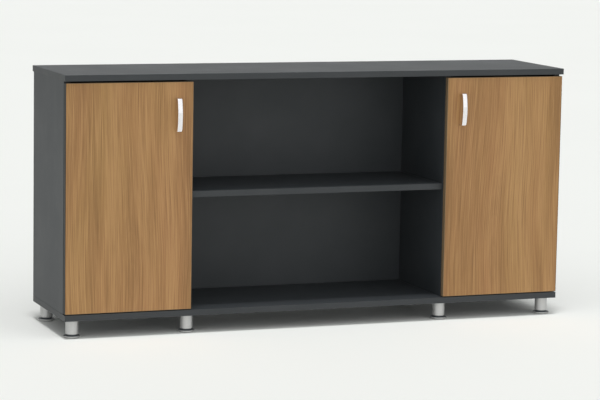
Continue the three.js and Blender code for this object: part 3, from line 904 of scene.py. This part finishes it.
for hand, side in HANDS:
    door = f"{hand}_door"
    door_back = node_box(door)[1][Y]
    cup_holes = []
    for level in LEVELS:
        x, z = cup_axis(hand, side, level)
        origin, axis = (x, door_back, z), (0.0, -1.0, 0.0)
        cup_holes.append(round_hole(origin, axis, CUP_HOLE_RADIUS, CUP_HOLE_DEPTH, CUP_SIDES))
    finishes = (wood_faces[hand], wood_edging, raw_core)
    piece = make_board(door, Y, DOOR_EDGE, door, "wood_laminate", finishes, cup_holes)
    print(piece.name, len(piece.data.polygons), "faces")

# %% [markdown]
# ## The line of a bow handle
# Each handle is one strip of metal, bent square at both ends and bowed between them. Its centre
# line could be a Bezier curve drawn by eye, but a line worked out from its sizes fits the packed
# handle.

# %% Bow path
BOW_LEG = 6.0 * MM
BOW_BAR = 4.5 * MM
BOW_SHOULDER = 19.0 * MM
BEND_RUN = 6.0 * MM
LEG_START = 0.3 * MM
LEG_POINTS, BEND_POINTS, BOW_POINTS = 6, 12, 18


def bow_path(half, projection):
    """Centre line as distance along the door and distance in front of it: a straight leg, a bend
    as a quadratic curve, a circular bow through the shoulders, and the same again mirrored."""
    leg = half - BOW_LEG / 2
    rise = projection - BOW_SHOULDER
    radius = (half * half + rise * rise) / (2 * rise) - BOW_BAR / 2
    centre = projection - BOW_BAR / 2 - radius
    corner = np.array([leg, centre + math.sqrt(radius * radius - leg * leg)])
    start = corner - np.array([0.0, BEND_RUN])
    bow_turn = math.asin((leg - BEND_RUN) / radius)
    end = np.array([radius * math.sin(bow_turn), centre + radius * math.cos(bow_turn)])
    t = np.linspace(0.0, 1.0, BEND_POINTS)[:, None]
    bend = (1 - t) ** 2 * start + 2 * t * (1 - t) * corner + t**2 * end
    straight = np.linspace([leg, LEG_START], start, LEG_POINTS, endpoint=False)
    angle = np.linspace(bow_turn, 0.0, BOW_POINTS)[1:]
    bow = np.stack([radius * np.sin(angle), centre + radius * np.cos(angle)], -1)
    half_path = np.concatenate([straight, bend, bow])
    return np.concatenate([half_path, (half_path * [-1, 1])[-2::-1]])


print("bow path, bends of", BEND_RUN / MM, "mm")

# %% [markdown]
# ## Bow handles
# The strip is a flat section with soft corners carried along that line. A cube could be bent with
# a Simple Deform modifier instead, but its bends would pinch. Bending the path and keeping the
# section whole gives the same even strip that a press makes.

# %% Handles
SECTION_SIDES = 28
SECTION_POWER = 0.32
TINY = 1e-9


def soft_power(wave):
    """A wave raised to a small power with its sign kept, which squares off its rounds."""
    return np.sign(wave) * np.abs(wave) ** SECTION_POWER


def end_caps(rows, columns):
    """The first and last ring of a grid as two faces."""
    last = (rows - 1) * columns
    return [list(range(columns)), list(range(last, last + columns))]


def bow_strip(path, width):
    """At each path point the section is a soft rectangle: signed powers of a sine and a cosine
    give its height across the strip and its width. The strip thins from the legs to the bow."""
    ahead = np.gradient(path, axis=0)
    ahead /= np.linalg.norm(ahead, axis=1)[:, None]
    outward = np.stack([-ahead[:, 1], ahead[:, 0]], -1)
    outward *= np.sign(np.sum(outward * path, axis=1) + TINY)[:, None]
    upright = np.clip(np.abs(ahead[:, 1]), 0.0, 1.0)
    thick = BOW_BAR + (BOW_LEG - BOW_BAR) * upright
    turn = np.linspace(0.0, 2.0 * math.pi, SECTION_SIDES, endpoint=False)
    lift = thick[:, None] / 2 * soft_power(np.sin(turn))[None, :]
    points = np.empty((len(path), SECTION_SIDES, 3))
    points[..., 0] = width / 2 * soft_power(np.cos(turn))
    points[..., 1] = -(path[:, 1, None] + lift * outward[:, 1, None])
    points[..., 2] = path[:, 0, None] + lift * outward[:, 0, None]
    faces = grid_faces(len(path), SECTION_SIDES).tolist()
    return points, faces + end_caps(len(path), SECTION_SIDES)


for hand, _ in HANDS:
    node, name, door = f"{hand}_handle", f"{hand}_bow_handle", f"{hand}_door"
    low, high = node_box(node)
    door_front = node_box(door)[0][Y]
    path = bow_path((high[Z] - low[Z]) / 2, door_front - low[Y])
    points, faces = bow_strip(path, high[X] - low[X])
    points += np.array([(low[X] + high[X]) / 2, door_front, (low[Z] + high[Z]) / 2])
    mesh = new_mesh(name, points, faces)
    finish_piece(name, mesh, (bright_metal,), door, "bright_chrome", node)
    print(name, len(mesh.polygons), "faces")

# %% [markdown]
# ## Legs
# The legs are turned on a lathe, so each is a profile carried round an upright axis. A cylinder
# with a Bevel modifier would look the same from outside, but the profile also bores the socket that
# the levelling foot's stud screws into.

# %% Legs
LEGS = [(row, number) for row in ("front", "rear") for number in range(1, 5)]
TURN_SIDES = 72
TUBE_BEVEL = 0.9 * MM
STUD_RADIUS = 5.0 * MM
STUD_LENGTH = 24.0 * MM
SOCKET_GAP = 0.3 * MM
SOCKET_SPARE = 6.0 * MM


def arc(centre, radius, start, stop, steps):
    """Radius and height pairs on a circle in the profile's plane, with angles in degrees."""
    angle = np.radians(np.linspace(start, stop, steps))
    pairs = np.stack([np.cos(angle), np.sin(angle)], -1) * radius + np.array(centre)
    return pairs.tolist()


def leg_profile(low, high):
    """From the socket's roof down its bore, out along the lower end, up the tube with a rounded
    corner at each end, and back to the axis."""
    radius, bore = (high[X] - low[X]) / 2, STUD_RADIUS + SOCKET_GAP
    bottom, top = low[Z], high[Z]
    roof = bottom + STUD_LENGTH + SOCKET_SPARE
    return [
        (0.0, roof), (bore, roof), (bore, bottom),
        *arc((radius - TUBE_BEVEL, bottom + TUBE_BEVEL), TUBE_BEVEL, -90, 0, 5),
        *arc((radius - TUBE_BEVEL, top - TUBE_BEVEL), TUBE_BEVEL, 0, 90, 5),
        (0.0, top),
    ]


def leg_axis(row, number):
    """A point on the floor under the middle of a leg."""
    return node_middle(f"{row}_leg_{number}") * [1.0, 1.0, 0.0]


for row, number in LEGS:
    node, name = f"{row}_leg_{number}", f"{row}_tube_{number}"
    points, faces = turned(leg_profile(*node_box(node)), TURN_SIDES)
    mesh = new_mesh(name, points + leg_axis(row, number), faces)
    finish_piece(name, mesh, (satin_silver,), "carcass", "satin_aluminium", node)
print("legs", len(LEGS))

# %% [markdown]
# ## Levelling feet
# A foot is a thick disc with a rolled rim and a neck. The neck and the disc's flat top are painted
# dark, as painted shade under the tube, so they read as a ring there. Stacked cylinders would show
# hard steps, so the foot is one turned profile, whose last steps take the painted shade finish.

# %% Feet
FOOT_DISC, FOOT_NECK, NECK_RADIUS = 6.5 * MM, 4.2 * MM, 15.0 * MM
FOOT_RIM, NECK_FILLET, NECK_CHAMFER = 1.1 * MM, 0.8 * MM, 0.4 * MM
SOLE_INSET, SOLE_ROUND = 4.0 * MM, 1.0 * MM
SKIRT_INSET, SKIRT_LOW, SKIRT_TOP = 0.6 * MM, 2.6 * MM, 3.2 * MM
COLLAR_ROWS = 7


def foot_profile(radius):
    """From the sole's middle: a flat sole, a skirt that slopes out, a rolled rim, a flat top, a
    neck and its shoulder. The flat top and the neck are the last COLLAR_ROWS steps, painted dark
    as painted shade under the tube."""
    sole = radius - SOLE_INSET - SOLE_ROUND
    top = FOOT_DISC + FOOT_NECK
    return [
        (0.0, 0.0), (sole, 0.0),
        *arc((sole, SOLE_ROUND), SOLE_ROUND, -90, -30, 4),
        (radius - SKIRT_INSET, SKIRT_LOW), (radius, SKIRT_TOP),
        *arc((radius - FOOT_RIM, FOOT_DISC - FOOT_RIM), FOOT_RIM, 0, 90, 6),
        *arc((NECK_RADIUS + NECK_FILLET, FOOT_DISC + NECK_FILLET), NECK_FILLET, -90, -180, 4),
        (NECK_RADIUS, top - NECK_CHAMFER), (NECK_RADIUS - NECK_CHAMFER, top), (0.0, top),
    ]


for row, number in LEGS:
    foot, disc = f"{row}_foot_{number}", f"{row}_disc_{number}"
    low, high = node_box(foot)
    points, faces = turned(foot_profile((high[X] - low[X]) / 2), TURN_SIDES)
    mesh = new_mesh(disc, points + leg_axis(row, number), faces)
    count = len(mesh.polygons)
    # the last rows take the painted shade finish
    collar = np.arange(count) >= count - COLLAR_ROWS * TURN_SIDES
    mesh.polygons.foreach_set("material_index", collar.astype(np.int32))
    finish_piece(disc, mesh, (shaded_satin_disc, painted_shade_collar), foot, "satin_aluminium", foot)
print("feet", len(LEGS))

# %% [markdown]
# ## Threaded studs
# A foot's stud shows when the foot is screwed out, so it has a real thread. A thread could be a
# helix with a Screw modifier. A wave in the radius that climbs with the angle is lighter, and it is
# closed.

# %% Studs
THREAD_PITCH, THREAD_DEPTH = 1.5 * MM, 0.45 * MM
THREAD_ROWS, STUD_SIDES = 100, 32


def threaded_stud(bottom, top):
    """Radius falls and rises in a wave that climbs one pitch for each turn about the axis."""
    height = np.linspace(bottom, top, THREAD_ROWS)[:, None]
    angle = np.linspace(0.0, 2.0 * math.pi, STUD_SIDES, endpoint=False)[None, :]
    wave = np.abs(((height / THREAD_PITCH - angle / (2.0 * math.pi)) % 1.0) * 2.0 - 1.0)
    radius = STUD_RADIUS - THREAD_DEPTH * wave
    level = np.broadcast_to(height, radius.shape)
    points = np.stack([radius * np.cos(angle), radius * np.sin(angle), level], -1)
    faces = grid_faces(THREAD_ROWS, STUD_SIDES).tolist()
    return points, faces + end_caps(THREAD_ROWS, STUD_SIDES)


for row, number in LEGS:
    foot, stud = f"{row}_foot_{number}", f"{row}_stud_{number}"
    top = node_box(foot)[1][Z]
    points, faces = threaded_stud(top - STUD_LENGTH, top)
    mesh = new_mesh(stud, points + leg_axis(row, number), faces)
    finish_piece(stud, mesh, (zinc_plate,), foot, "satin_aluminium")
print("studs", len(LEGS))

# %% [markdown]
# ## Shelf pins
# Each cupboard shelf lies on four small steel pins: a shank in the board and a thicker head under
# the shelf. They are turned like the legs, then laid along x, because the profile is the easiest
# place to give them soft edges.

# %% Shelf pins
PIN_SIDES = 32
PIN_SHANK, PIN_HEAD = 2.5 * MM, 3.5 * MM
PIN_SOFT, PIN_NECK = 0.5 * MM, 8.5 * MM


def shelf_pin(length):
    """A shank and a head with soft edges, along z from the shank's end."""
    edge = PIN_HEAD - PIN_SOFT
    return turned([
        (0.0, 0.0), (PIN_SHANK - PIN_SOFT, 0.0), (PIN_SHANK, PIN_SOFT), (PIN_SHANK, PIN_NECK),
        *arc((edge, PIN_NECK + PIN_SOFT), PIN_SOFT, -90, 0, 4),
        *arc((edge, length - PIN_SOFT), PIN_SOFT, 0, 90, 4),
        (0.0, length),
    ], PIN_SIDES)


def add_pin(node, inward):
    """A pin over a packed one; inward is the way from shank to head along x."""
    low, high = node_box(node)
    origin = node_middle(node)
    origin[X] = low[X] if inward > 0 else high[X]
    points, faces = shelf_pin(high[X] - low[X])
    mesh = new_mesh(f"{node}_turned", along(points, origin, (inward, 0.0, 0.0)), faces)
    finish_piece(f"{node}_turned", mesh, (zinc_plate,), "carcass", "plain_steel", node)


for hand, side in HANDS:
    for board, inward in (("side_panel", -side), ("divider", side)):
        for number in PANEL_PINS[board]:
            add_pin(f"{hand}_shelf_pin_{number}", inward)
        print(hand, board, "pins", len(PANEL_PINS[board]))

# %% [markdown]
# ## Screws behind the handles
# Two screws hold each handle from inside the door. A screw head is a dome with a cross pressed into
# it. A Boolean could cut the cross, but height as a formula over a polar grid makes dome and cross
# in one go, with soft walls.

# %% Handle screws
SCREW_SIDES, HEAD_RINGS = 48, 22
DOME_FALL = 0.45
CROSS_HALF, CROSS_SLOPE = 0.13, 0.06
CROSS_REACH, CROSS_FADE, CROSS_DEPTH = 0.62, 0.08, 0.5
HEAD_GAP = 0.05 * MM


def screw_head(radius, height):
    """Height over a polar grid: a dome, less a cross-shaped pit near the middle. The last two
    rings are the flat underside."""
    share = np.concatenate([np.linspace(0.0, 1.0, HEAD_RINGS), [1.0, 0.0]])[:, None]
    angle = np.linspace(0.0, 2.0 * math.pi, SCREW_SIDES, endpoint=False)
    x = radius * share * np.cos(angle)
    y = radius * share * np.sin(angle)
    dome = height * (1.0 - DOME_FALL * share**2)
    arm = np.minimum(np.abs(x), np.abs(y))
    pit = np.clip((CROSS_HALF * radius - arm) / (CROSS_SLOPE * radius) + 0.5, 0.0, 1.0)
    pit *= np.clip((CROSS_REACH - share) / CROSS_FADE, 0.0, 1.0)
    z = dome - CROSS_DEPTH * height * pit
    z[-2:] = 0.0
    return np.stack([x, y, z], -1), grid_faces(len(share), SCREW_SIDES)


def add_screw(name, origin, axis, radius, height, body, slot, *stands_for):
    """A zinc screw head standing on a point, along an axis."""
    points, faces = screw_head(radius, height)
    mesh = new_mesh(name, along(points, origin, axis), faces)
    finish_piece(name, mesh, (zinc_plate,), body, slot, *stands_for)


BACKWARD = (0.0, 1.0, 0.0)
for hand, _ in HANDS:
    door = f"{hand}_door"
    for number in (1, 2):
        node = f"{hand}_handle_screw_{number}"
        low, high = node_box(node)
        origin = node_middle(node)
        origin[Y] = node_box(door)[1][Y] + HEAD_GAP
        radius, height = (high[X] - low[X]) / 2, high[Y] - origin[Y]
        add_screw(f"{node}_head", origin, BACKWARD, radius, height, door, "plain_steel", node)
print("handle screws", 2 * len(HANDS))

# %% [markdown]
# ## Pads behind the doors
# A clear pad on the back of each door softens its closing. Real ones are stick-on domes with a
# short straight foot. A squashed sphere would have no foot, so the profile is a step and a quarter
# of an ellipse, carried round.

# %% Door pads
PAD_STEP = 0.3
PAD_START = 0.15
PAD_POINTS = 9

for hand, _ in HANDS:
    node = f"{hand}_door_bumper"
    low, high = node_box(node)
    radius, height = (high[X] - low[X]) / 2, high[Y] - low[Y]
    t = np.linspace(PAD_START, math.pi / 2, PAD_POINTS)
    curve = np.stack([radius * np.cos(t), height * (PAD_STEP + (1 - PAD_STEP) * np.sin(t))], -1)
    profile = [(0.0, 0.0), (radius, 0.0), (radius, PAD_STEP * height), *curve.tolist()]
    points, faces = turned(profile, PIN_SIDES)
    origin = node_middle(node)
    origin[Y] = low[Y]
    mesh = new_mesh(f"{node}_dome", along(points, origin, BACKWARD), faces)
    finish_piece(f"{node}_dome", mesh, (clear_pad,), f"{hand}_door", "clear_pad", node)
print("pads", len(HANDS))

# %% [markdown]
# ## Hinge parts
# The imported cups, arms, plates and pins already have the shapes of pressed metal, but hard edges.
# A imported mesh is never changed, so a copy of each is merged into one skin, its flat faces are
# joined, and a small Bevel modifier rounds the edges as a press does. Each copy rides on the body
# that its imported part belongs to.

# %% Pressed hinge parts
HINGE_PARTS = {
    "cup": nickel_plate,
    "arm": nickel_plate,
    "plate": nickel_plate,
    "pin": zinc_plate,
}
PRESSED_EDGE = 0.25 * MM
FLAT_ANGLE = math.radians(1)


def body_holding(node):
    """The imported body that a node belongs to."""
    bodies = frame["record"]["behaviour"]["bodies"]
    return next(body for body, members in bodies.items() if node in members)


def merged_copy(node, name):
    """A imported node's loose triangles as one skin, with triangles in one plane joined."""
    packed = frame["nodes"][node].data
    points = np.empty(len(packed.vertices) * 3, np.float32)
    packed.vertices.foreach_get("co", points)
    corners = np.empty(len(packed.loops), np.int32)
    packed.loops.foreach_get("vertex_index", corners)
    mesh = new_mesh(name, points, corners.reshape(-1, 3).tolist())
    work = bmesh.new()
    work.from_mesh(mesh)
    bmesh.ops.dissolve_limit(work, angle_limit=FLAT_ANGLE, verts=work.verts, edges=work.edges)
    work.to_mesh(mesh)
    work.free()
    return mesh


def pressed_part(node, finish):
    """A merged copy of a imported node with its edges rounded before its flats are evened."""
    name = f"{node}_pressed"
    mesh = merged_copy(node, name)
    piece = finish_piece(name, mesh, (finish,), body_holding(node), "hinge_metal", node)
    bevel = piece.modifiers.new("pressed_edges", "BEVEL")
    bevel.width = PRESSED_EDGE
    bevel.segments = 2
    bevel.limit_method = "ANGLE"
    bevel.angle_limit = SHARP_ANGLE
    piece.modifiers.move(1, 0)


for hand, _ in HANDS:
    for level in LEVELS:
        for part, finish in HINGE_PARTS.items():
            pressed_part(f"{hand}_{level}_hinge_{part}", finish)
print("hinges", len(HANDS) * len(LEVELS), "of", len(HINGE_PARTS), "parts")

# %% [markdown]
# ## Hinge screws
# A real hinge is screwed on: two screws hold each cup to the door, two hold each plate to the side
# panel and two sit in the arm for adjustment. They use the same screw head as the handles, and are
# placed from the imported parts.

# %% Hinge screws
CUP_SCREW = dict(radius=3.0 * MM, height=0.9 * MM)
PLATE_SCREW = dict(radius=4.0 * MM, height=1.6 * MM)
ARM_SCREW = dict(radius=3.0 * MM, height=1.1 * MM)
CUP_SCREW_SPACING = 23.5 * MM
PLATE_SCREW_SPACING = 16.0 * MM
PLATE_BASE = 2.1 * MM
ARM_SCREW_PLACES = (7.0 * MM, 25.0 * MM)


def hinge_screws(hand, side, level):
    """Screws of one hinge: a pair above and below the cup and the plate, a pair along the arm."""
    stem, inward = f"{hand}_{level}_hinge", (-side, 0.0, 0.0)
    arm_low, arm_high = node_box(f"{stem}_arm")
    panel_low, panel_high = node_box(f"{hand}_side_panel")
    cup_x, z = cup_axis(hand, side, level)
    cup_back = node_box(f"{stem}_cup")[1][Y]
    base_x = (panel_high[X] if side < 0 else panel_low[X]) - side * PLATE_BASE
    arm_x = arm_high[X] if side < 0 else arm_low[X]
    plate_y = node_middle(f"{stem}_plate")[Y]
    for number, sign in ((1, 1.0), (2, -1.0)):
        places = {
            "cup": (cup_x, cup_back, z + sign * CUP_SCREW_SPACING),
            "plate": (base_x, plate_y, z + sign * PLATE_SCREW_SPACING),
            "arm": (arm_x, arm_high[Y] - ARM_SCREW_PLACES[number - 1], z),
        }
        for part, size in (("cup", CUP_SCREW), ("plate", PLATE_SCREW), ("arm", ARM_SCREW)):
            axis, body = (BACKWARD, f"{hand}_door") if part == "cup" else (inward, "carcass")
            name = f"{stem}_{part}_screw_{number}"
            add_screw(name, places[part], axis, **size, body=body, slot="hinge_metal")


for hand, side in HANDS:
    for level in LEVELS:
        hinge_screws(hand, side, level)
print("hinge screws", 6 * len(HANDS) * len(LEVELS))
